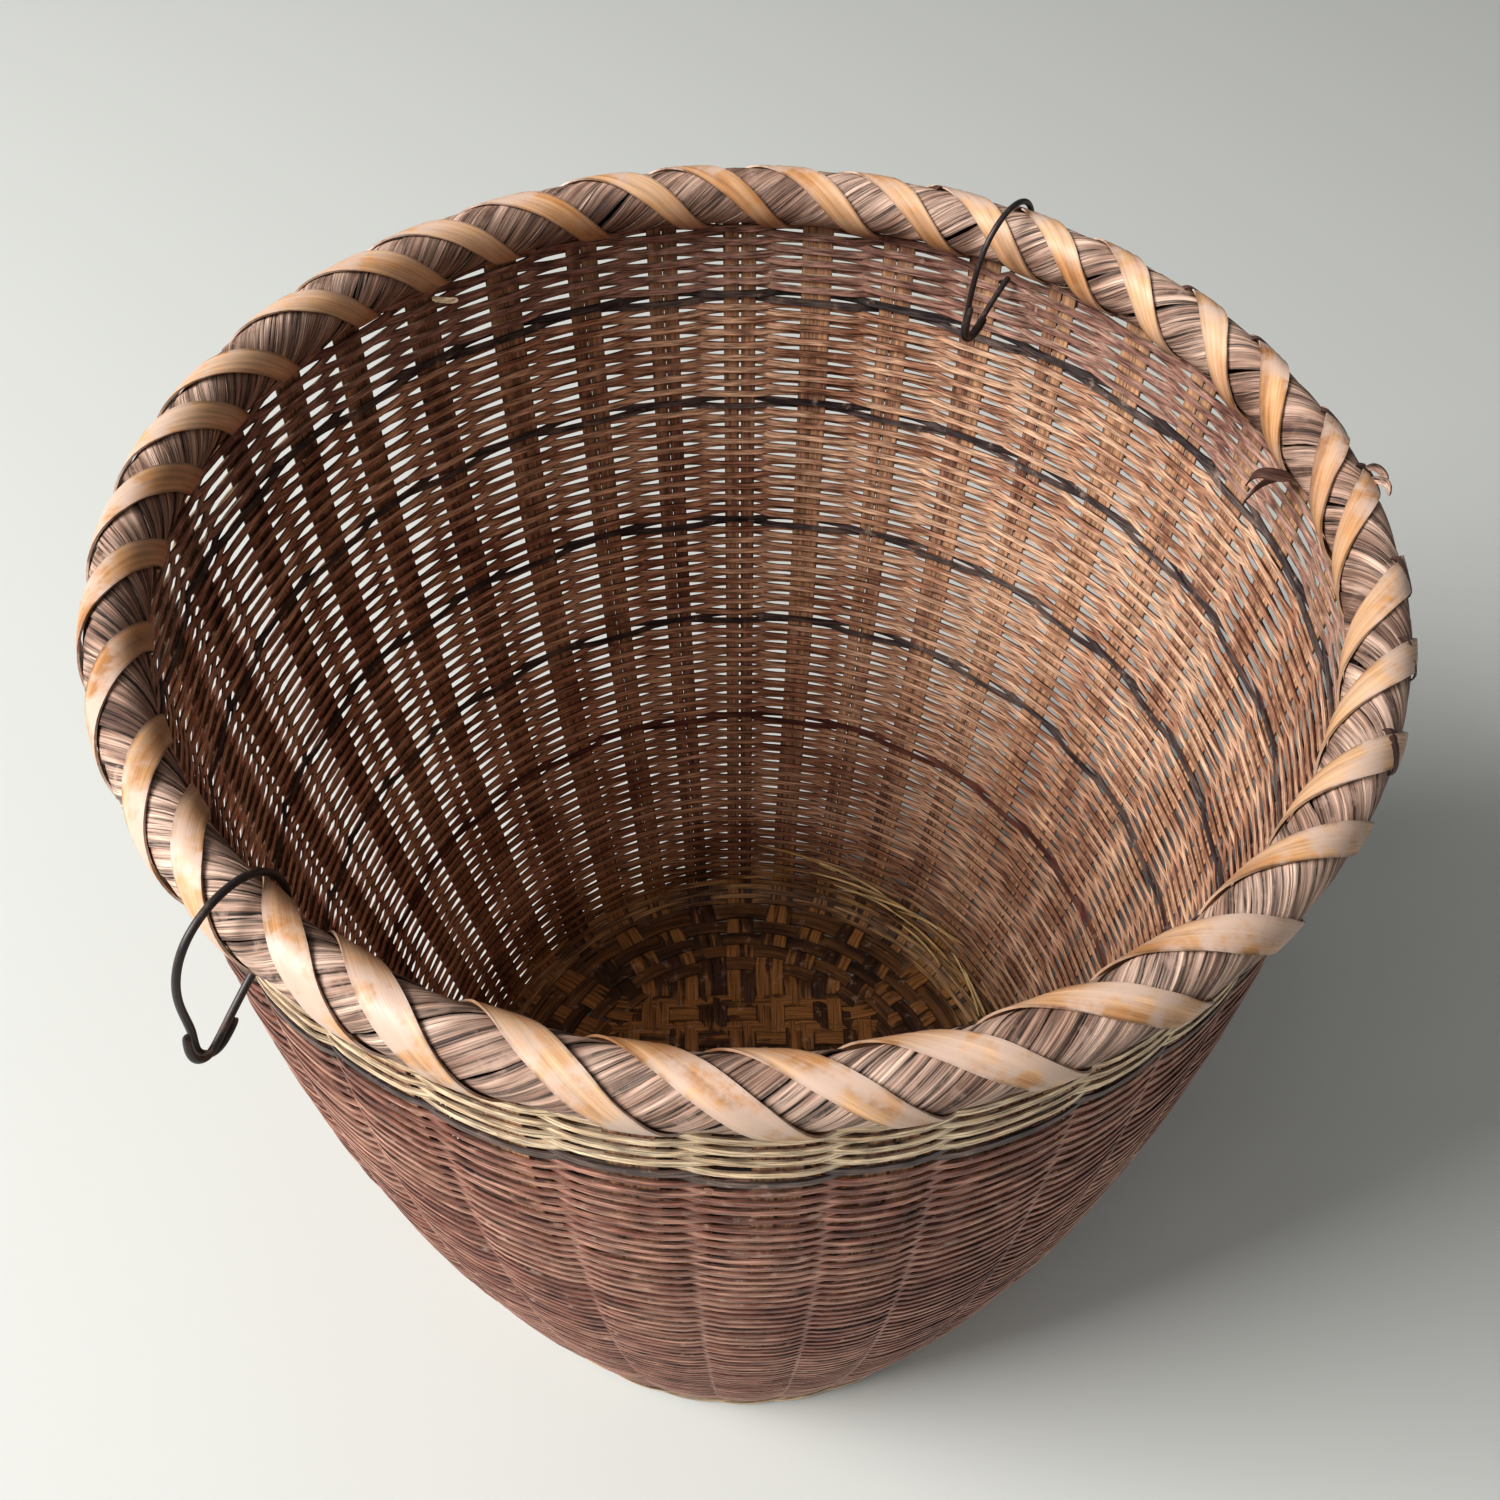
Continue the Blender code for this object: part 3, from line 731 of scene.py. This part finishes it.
def loose_ends(finishes):
    """A fan of broken wefts low in the wall, curled bark and one weft end at the rim."""
    rng = seeded(LOOSE_END_SEED)
    fan = []
    for start, high, stop, low in BROKEN_WEFTS:
        level = (high + low) / 2 + 0.002
        fan.append(((start, wall_radius(high) - 0.0022, high),
                    ((start + stop) / 2, wall_radius(level) - rng.uniform(0.003, 0.006), level),
                    (stop, wall_radius(low) - rng.uniform(0.0025, 0.006), low)))
    # Name, places, width, thickness, lift of one side, finish and slot
    kinds = (
        ("broken_weft_fan", fan, 0.0021, 0.0005, 0.45, "broken_bamboo", "weft_bamboo"),
        ("curled_bark_inside", CURLS_INSIDE, 0.0058, 0.0005, 0.2, "tie_bark", "wrap_bark"),
        ("curled_bark_outside", CURLS_OUTSIDE, 0.0030, 0.0007, 0.1, "wrap_bark", "wrap_bark"),
        ("weft_end_at_rim", WEFT_END, 0.0034, 0.0006, 0.3, "strand_bamboo", "weft_bamboo"),
    )
    for index, (name, bends, width, thickness, lift, kind, slot) in enumerate(kinds):
        piece = loose_strips(name, bends, width, thickness, lift, LOOSE_END_SEED + 1 + index)
        finish(piece, finishes[kind], slot)


# ---------------------------------------------------------------- materials
def shade(red, green, blue):
    """Colour from display values between 0 and 255."""
    return tuple((channel / 255) ** 2.2 for channel in (red, green, blue)) + (1.0,)


def feed(tree, socket, value):
    """Link a shader socket to another socket, or set its value."""
    if isinstance(value, bpy.types.NodeSocket):
        tree.links.new(value, socket)
    else:
        socket.default_value = value


def add_node(tree, kind, inputs=(), **settings):
    """Add a shader node, set its properties and its named or numbered inputs."""
    node = tree.nodes.new(kind)
    for key, value in settings.items():
        setattr(node, key, value)
    for key, value in dict(inputs).items():
        feed(tree, node.inputs[key], value)
    return node


def maths(tree, operation, *values, **settings):
    """Arithmetic on values that change over the surface."""
    return add_node(tree, "ShaderNodeMath", enumerate(values), operation=operation, **settings).outputs[0]


def arrow_maths(tree, operation, *values):
    """Arithmetic on arrows; the output asked for is an arrow or a value."""
    output = "Value" if operation in ("LENGTH", "DOT_PRODUCT") else "Vector"
    node = add_node(tree, "ShaderNodeVectorMath", enumerate(values), operation=operation)
    return node.outputs[output]


def between(tree, *limits, **settings):
    """A value carried from one pair of limits to another, which is 0 to 1 if none is given."""
    return add_node(tree, "ShaderNodeMapRange", enumerate(limits), **settings).outputs[0]


def noise(tree, place, scale, detail, roughness=0.5):
    """Irregular grey over the surface."""
    inputs = {"Vector": place, "Scale": scale, "Detail": detail, "Roughness": roughness}
    return add_node(tree, "ShaderNodeTexNoise", inputs).outputs[0]


def new_material(name):
    """Material with nodes: itself, its node tree and its shader."""
    material = bpy.data.materials.new(name)
    material.use_nodes = True
    return material, material.node_tree, material.node_tree.nodes["Principled BSDF"]


def make_group(name, inputs, outputs):
    """Empty shader node group with named sockets."""
    group = bpy.data.node_groups.new(name, "ShaderNodeTree")
    for label, kind, value in inputs:
        socket = group.interface.new_socket(label, in_out="INPUT", socket_type=kind)
        if value is not None:
            socket.default_value = value
    for label, kind in outputs:
        group.interface.new_socket(label, in_out="OUTPUT", socket_type=kind)
    return group, group.nodes.new("NodeGroupInput"), group.nodes.new("NodeGroupOutput")


def fibre_group():
    """Lengthwise bamboo fibres: shading of the grain, painted shade in the splits and a relief height."""
    group, given, result = make_group(
        "bamboo_fibres",
        (("Strip", "NodeSocketVector", None), ("Fine", "NodeSocketFloat", 1400.0),
         ("Broad", "NodeSocketFloat", 330.0), ("Contrast", "NodeSocketFloat", 0.5),
         ("Splits", "NodeSocketFloat", 0.36)),
        (("Shading", "NodeSocketFloat"), ("Grain", "NodeSocketFloat"), ("Relief", "NodeSocketFloat")),
    )
    split = add_node(group, "ShaderNodeSeparateXYZ", {0: given.outputs["Strip"]})
    lanes = []
    for stretch, lane_depth in ((0.03, 0.0), (0.045, 3.1), (0.016, 7.7)):
        slow = maths(group, "MULTIPLY", split.outputs[0], stretch)
        lane = add_node(group, "ShaderNodeCombineXYZ", {0: slow, 1: split.outputs[1], 2: lane_depth})
        lanes.append(lane.outputs[0])
    fine = noise(group, lanes[0], given.outputs["Fine"], 3.0, 0.6)
    broad = noise(group, lanes[1], given.outputs["Broad"], 2.0)
    crack = noise(group, lanes[2], given.outputs["Broad"], 4.0, 0.7)
    both = maths(group, "ADD", fine, broad)
    swing = maths(group, "MULTIPLY", maths(group, "SUBTRACT", both, 1.0), 3.4)
    grain = maths(group, "ADD", maths(group, "MULTIPLY", swing, given.outputs["Contrast"]), 1.0)
    edge = maths(group, "ADD", given.outputs["Splits"], 0.05)
    # Painted shade: the open splits are darkened in colour as well as lowered in the relief.
    split_shade = between(group, crack, given.outputs["Splits"], edge, 0.42, 1.0)
    group.links.new(maths(group, "MULTIPLY", grain, split_shade), result.inputs["Shading"])
    group.links.new(fine, result.inputs["Grain"])
    group.links.new(maths(group, "MULTIPLY", both, split_shade), result.inputs["Relief"])
    return group


def tone_group():
    """Tone of a strip from 0 to 1: its own, changing along it, and by where it is."""
    group, given, result = make_group(
        "strip_tone",
        (("Strip", "NodeSocketVector", None), ("Place", "NodeSocketVector", None),
         ("Own", "NodeSocketFloat", 0.5), ("Own share", "NodeSocketFloat", 0.5)),
        (("Tone", "NodeSocketFloat"),),
    )
    split = add_node(group, "ShaderNodeSeparateXYZ", {0: given.outputs["Strip"]})
    slow = maths(group, "MULTIPLY", split.outputs[0], 0.13)
    lane = add_node(group, "ShaderNodeCombineXYZ", {0: slow, 1: split.outputs[1]})
    along = noise(group, lane.outputs[0], 190.0, 2.0)
    patch = noise(group, given.outputs["Place"], 17.0, 4.0, 0.6)
    swing = maths(group, "MULTIPLY_ADD", maths(group, "ADD", along, patch), 2.1, -1.6)
    tone = maths(group, "MULTIPLY_ADD", given.outputs["Own"], given.outputs["Own share"], swing,
                 use_clamp=True)
    group.links.new(tone, result.inputs["Tone"])
    return group


def patch_group():
    """Irregular worn or dusty patches as a mask."""
    group, given, result = make_group(
        "worn_patches",
        (("Place", "NodeSocketVector", None), ("Scale", "NodeSocketFloat", 40.0),
         ("From", "NodeSocketFloat", 0.55), ("To", "NodeSocketFloat", 0.70)),
        (("Mask", "NodeSocketFloat"),),
    )
    grey = noise(group, given.outputs["Place"], given.outputs["Scale"], 4.0, 0.62)
    mask = between(group, grey, given.outputs["From"], given.outputs["To"],
                   interpolation_type="SMOOTHSTEP")
    group.links.new(mask, result.inputs["Mask"])
    return group


FIBRES = fibre_group()
TONE = tone_group()
PATCHES = patch_group()
WORN_FROM = 0.006           # the patches' strength changes between these distances inside the rim's middle
WORN_TO = 0.001
LOW_TONE_FROM = 0.008       # strips have their low tone below this height, and none above the next
LOW_TONE_TO = 0.055


def place_group(tree, group, inputs):
    """Place a shader node group in a material and feed its inputs."""
    node = add_node(tree, "ShaderNodeGroup", node_tree=group)
    for label, value in inputs.items():
        feed(tree, node.inputs[label], value)
    return node


def blend_colours(tree, share, first, second, mode="MIX"):
    """Mix two colours; each is a colour or a socket."""
    node = tree.nodes.new("ShaderNodeMix")
    node.data_type = "RGBA"
    node.blend_type = mode
    for key, value in ((0, share), (6, first), (7, second)):
        feed(tree, node.inputs[key], value)
    return node.outputs[2]


def tone_ramp(tree, tone, tones, middle=0.5):
    """Colour ramp over three tones of one bamboo."""
    ramp = tree.nodes.new("ShaderNodeValToRGB")
    ramp.color_ramp.elements[0].color = tones[0]
    ramp.color_ramp.elements[1].color = tones[2]
    ramp.color_ramp.elements.new(middle).color = tones[1]
    tree.links.new(tone, ramp.inputs[0])
    return ramp.outputs[0]


def bamboo(name, inside, outside=None, low=None, own_share=0.5, worn=None, grain=(1400.0, 330.0, 0.5, 0.36),
           roughness=0.55, relief=0.5, gloss=0.0, is_hoop=False):
    """Split bamboo or bark: tones inside, outside and low down, fibres, edges darkened for their bark side
    and with painted shade where strips meet, worn patches.

    worn is the patches' colour, scale, lower and upper limit, and their strength on the inner
    and on the outer side of the rim's middle.  grain is the scale of the fine and broad fibres,
    their contrast, and how much of the strip is split open, with painted shade in the splits.
    A hoop has no strip coordinates: its fibres run level round it.
    """
    material, tree, shader = new_material(name)
    place = add_node(tree, "ShaderNodeTexCoord").outputs["Object"]
    spot = add_node(tree, "ShaderNodeSeparateXYZ", {0: place})
    height = spot.outputs[2]
    if is_hoop:
        strip = add_node(tree, "ShaderNodeCombineXYZ", {0: spot.outputs[0], 1: height}).outputs[0]
    else:
        strip = add_node(tree, "ShaderNodeUVMap", uv_map="strip").outputs[0]
    own = add_node(tree, "ShaderNodeAttribute", attribute_name="tone").outputs["Fac"]
    side = add_node(tree, "ShaderNodeAttribute", attribute_name="edge").outputs["Fac"]
    fine, broad, contrast, splits = grain
    fibres = place_group(tree, FIBRES, {
        "Strip": strip, "Fine": fine, "Broad": broad, "Contrast": contrast, "Splits": splits})
    tone = place_group(tree, TONE, {
        "Strip": strip, "Place": place, "Own": own, "Own share": own_share}).outputs[0]
    colour = tone_ramp(tree, tone, inside)
    if low:
        rise = between(tree, height, LOW_TONE_FROM, LOW_TONE_TO)
        colour = blend_colours(tree, rise, tone_ramp(tree, tone, low, 0.8), colour)
    if outside:
        outward = outward_mask(tree, place, height)
        colour = blend_colours(tree, outward, colour, tone_ramp(tree, tone, outside))
    colour = blend_colours(tree, 1.0, colour, fibres.outputs["Shading"], "MULTIPLY")
    # Edges darken partly for the darker bark side of a split edge and partly as painted shade where strips
    # meet.
    edge_bark_and_shade = between(tree, maths(tree, "ABSOLUTE", side), 0.80, 1.0, 1.0, 0.45)
    colour = blend_colours(tree, 1.0, colour, edge_bark_and_shade, "MULTIPLY")
    if worn:
        colour = blend_colours(tree, worn_share(tree, place, *worn[1:]), colour, worn[0])
    tree.links.new(colour, shader.inputs["Base Color"])
    rough = between(tree, fibres.outputs["Grain"], 0.3, 0.7, roughness + 0.08, roughness - 0.08)
    tree.links.new(rough, shader.inputs["Roughness"])
    shader.inputs["Coat Weight"].default_value = gloss
    shader.inputs["Coat Roughness"].default_value = 0.35
    add_relief(tree, shader, fibres.outputs["Relief"], relief, 0.0003)
    return material


def add_relief(tree, shader, height, strength, distance):
    """Fine relief from a height that changes over the surface."""
    bump = add_node(tree, "ShaderNodeBump", {"Height": height, "Strength": strength, "Distance": distance})
    tree.links.new(bump.outputs[0], shader.inputs["Normal"])


def from_axis(tree, place):
    """Level arrow from the basket's axis to a point of the surface."""
    return arrow_maths(tree, "MULTIPLY", place, (1.0, 1.0, 0.0))


def worn_share(tree, place, scale, lower, upper, inner_strength, outer_strength):
    """Mask of the worn patches, with its strength inside and outside the rim's middle."""
    patches = place_group(tree, PATCHES, {"Place": place, "Scale": scale, "From": lower, "To": upper})
    reach = arrow_maths(tree, "LENGTH", from_axis(tree, place))
    strength = between(tree, reach, RIM_RADIUS - WORN_FROM, RIM_RADIUS - WORN_TO,
                       inner_strength, outer_strength)
    return maths(tree, "MULTIPLY", patches.outputs[0], strength)


def outward_mask(tree, place, height):
    """1 on faces that look away from the basket's axis, or down at its foot, else 0."""
    surface = add_node(tree, "ShaderNodeNewGeometry")
    tilt = between(tree, height, 0.008, 0.016, -1.0, 0.0)
    down = add_node(tree, "ShaderNodeCombineXYZ", {2: tilt}).outputs[0]
    away = arrow_maths(tree, "NORMALIZE", from_axis(tree, place))
    aim = arrow_maths(tree, "ADD", away, down)
    facing = arrow_maths(tree, "DOT_PRODUCT", aim, surface.outputs["True Normal"])
    return between(tree, facing, -0.35, -0.05)


def iron(name):
    """Black iron wire with a little brown rust and handling shine."""
    material, tree, shader = new_material(name)
    place = add_node(tree, "ShaderNodeTexCoord").outputs["Object"]
    rust = place_group(tree, PATCHES, {"Place": place, "Scale": 260.0, "From": 0.50, "To": 0.75}).outputs[0]
    colour = blend_colours(tree, rust, shade(70, 64, 63), shade(104, 86, 76))
    tree.links.new(colour, shader.inputs["Base Color"])
    tree.links.new(between(tree, rust, 0.0, 1.0, 0.42, 0.75), shader.inputs["Roughness"])
    shader.inputs["Metallic"].default_value = 0.35
    add_relief(tree, shader, noise(tree, place, 900.0, 3.0), 0.35, 0.0002)
    return material


def make_finishes():
    """Every finish of the basket."""
    lit = (shade(134, 92, 72), shade(182, 136, 110), shade(222, 182, 152))
    rust = (shade(100, 60, 50), shade(144, 92, 76), shade(184, 136, 116))
    mauve = (shade(108, 76, 68), shade(146, 108, 96), shade(186, 148, 132))
    straw = (shade(178, 144, 110), shade(212, 180, 144), shade(230, 204, 170))
    soot = (shade(46, 40, 42), shade(74, 66, 66), shade(112, 98, 92))
    soot_outside = (shade(56, 46, 46), shade(88, 72, 68), shade(120, 98, 88))
    plum = (shade(70, 42, 40), shade(98, 62, 56), shade(126, 86, 74))
    olive = (shade(62, 44, 32), shade(92, 66, 46), shade(166, 120, 72))
    moss = (shade(96, 70, 48), shade(138, 104, 72), shade(184, 146, 100))
    base = (shade(58, 42, 32), shade(86, 62, 44), shade(128, 92, 58))
    stake = (shade(112, 80, 68), shade(152, 112, 92), shade(190, 148, 116))
    bark = (shade(98, 74, 64), shade(150, 120, 104), shade(196, 166, 148))
    tie = (shade(62, 42, 38), shade(84, 60, 52), shade(108, 80, 70))
    tan = (shade(160, 108, 68), shade(198, 144, 96), shade(222, 176, 134))
    split = (shade(180, 140, 90), shade(206, 168, 112), shade(226, 194, 140))
    scuff = (shade(214, 184, 164), 150.0, 0.58, 0.74, 0.45, 0.45)
    bark_scuff = (shade(196, 164, 148), 130.0, 0.52, 0.70, 0.15, 0.60)
    tan_worn = (shade(214, 188, 172), 80.0, 0.36, 0.58, 0.24, 0.82)
    fine = (1600.0, 800.0, 0.75, 0.37)
    return {
        "weft_bamboo": bamboo("weft_bamboo", lit, rust, low=moss, own_share=0.45, worn=scuff, grain=fine),
        "top_weft_bamboo": bamboo("top_weft_bamboo", mauve, straw, own_share=0.40, worn=scuff, grain=fine),
        "dark_weft": bamboo("dark_weft", soot, rust, own_share=0.35, worn=scuff, grain=fine),
        "top_dark_weft": bamboo("top_dark_weft", soot, soot_outside, own_share=0.35, worn=scuff, grain=fine),
        "old_dark_weft": bamboo("old_dark_weft", plum, rust, own_share=0.35, worn=scuff, grain=fine),
        "splint_bamboo": bamboo("splint_bamboo", stake, low=olive, own_share=0.85, worn=scuff,
                                grain=(1400.0, 500.0, 0.60, 0.34)),
        "base_bamboo": bamboo("base_bamboo", base, own_share=0.60, worn=scuff,
                              grain=(1200.0, 420.0, 0.65, 0.36), relief=0.6),
        "strand_bamboo": bamboo("strand_bamboo", straw, worn=scuff, grain=fine),
        "broken_bamboo": bamboo("broken_bamboo", split, grain=fine),
        "hoop_bamboo": bamboo("hoop_bamboo", tie, is_hoop=True),
        "wrap_bark": bamboo("wrap_bark", bark, own_share=0.40, worn=bark_scuff,
                            grain=(1900.0, 620.0, 1.05, 0.38), roughness=0.70, relief=0.9),
        "tie_bark": bamboo("tie_bark", tie, own_share=0.3, grain=(1500.0, 600.0, 0.6, 0.32), relief=0.5),
        "lashing_bamboo": bamboo("lashing_bamboo", tan, own_share=0.45, worn=tan_worn,
                                 grain=(1700.0, 500.0, 0.30, 0.27), roughness=0.48, relief=0.25, gloss=0.08),
        "wire_iron": iron("wire_iron"),
    }


# ---------------------------------------------------------------- stage, lights, camera
def build_stage():
    """Pale matt floor."""
    bm = bmesh.new()
    bmesh.ops.create_grid(bm, x_segments=1, y_segments=1, size=6.0)
    mesh = bpy.data.meshes.new("floor")
    bm.to_mesh(mesh)
    bm.free()
    floor = new_object("floor", mesh)
    material, _, shader = new_material("floor_paint")
    shader.inputs["Base Color"].default_value = shade(208, 209, 204)
    shader.inputs["Roughness"].default_value = 0.75
    dress(floor, material)


LIT_POINT = Vector((0, 0, 0.2))


def add_light(name, place, size, power):
    """Soft square light aimed at the middle of the basket."""
    light = bpy.data.lights.new(name, "AREA")
    light.size = size
    light.energy = power
    obj = new_object(name, light)
    obj.location = place
    obj.rotation_euler = (LIT_POINT - Vector(place)).to_track_quat("-Z", "Y").to_euler()


def build_lights():
    """A big soft window on the left, a weaker one behind the viewer, and a dim room all round."""
    add_light("window", (-2.86, -0.70, 2.98), 1.9, 190.0)
    add_light("second_window", (-1.2, -1.9, 3.0), 2.4, 28.0)
    world = bpy.data.worlds.new("room")
    world.use_nodes = True
    sky = world.node_tree.nodes["Background"]
    sky.inputs["Color"].default_value = (0.97, 0.99, 1.0, 1.0)
    sky.inputs["Strength"].default_value = 0.12
    bpy.context.scene.world = world


CAMERA_PLACE = (0.00126, -0.36510, 0.77740)
CAMERA_TILT = radians(51.188)
CAMERA_ROLL = radians(-0.668)
CAMERA_YAW = radians(-1.6)
CAMERA_LENS = 36.13


def build_camera():
    """Camera that looks down into the basket over its front rim."""
    camera = bpy.data.cameras.new("camera")
    camera.lens = CAMERA_LENS
    camera.sensor_width = 36.0
    camera.clip_start = 0.01
    obj = new_object("camera", camera)
    right = Vector((1, 0, 0))
    back = Vector((0, -cos(CAMERA_TILT), sin(CAMERA_TILT)))
    up = back.cross(right)
    rolled_right = right * cos(CAMERA_ROLL) - up * sin(CAMERA_ROLL)
    rolled_up = right * sin(CAMERA_ROLL) + up * cos(CAMERA_ROLL)
    turn = Matrix((rolled_right, rolled_up, back)).transposed().to_4x4()
    obj.matrix_world = Matrix.Rotation(CAMERA_YAW, 4, "Z") @ Matrix.Translation(CAMERA_PLACE) @ turn
    bpy.context.scene.camera = obj
    bpy.context.scene.view_settings.view_transform = "Standard"
    bpy.context.scene.view_settings.look = "Medium High Contrast"


def build_basket():
    """Weave and bind every piece of the basket round the frame."""
    finishes = make_finishes()
    weave_wall(finishes)
    for index in range(PER_SET):
        number = index - PER_SET // 2
        for axis, along_x in (("x", True), ("y", False)):
            piece = splint_pair(f"stakes_{axis}_{index + 1}", number, along_x,
                                SPLINT_SEED + index * 2 + along_x)
            finish(piece, finishes["splint_bamboo"], "splint_bamboo", f"splint_{axis}_{index + 1}")
    for index in range(ROUNDS):
        piece = base_round(f"wide_round_{index + 1}", index, ROUND_SEED + index)
        finish(piece, finishes["base_bamboo"], "base_bamboo", f"base_round_{index + 1}")
    piece = foot_strand("twisted_foot_strand", STRAND_SEED)
    finish(piece, finishes["strand_bamboo"], "strand_bamboo", "foot_strand")
    bind_rim(finishes)
    loose_ends(finishes)
    for side in ("outside", "inside"):
        wire_ring(side, finishes["wire_iron"])
    for name in ("rim_hoop_inner", "rim_hoop_outer", "rim_filler"):
        dress(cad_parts[name], finishes["hoop_bamboo"])


build_stage()
build_lights()
build_camera()
build_basket()
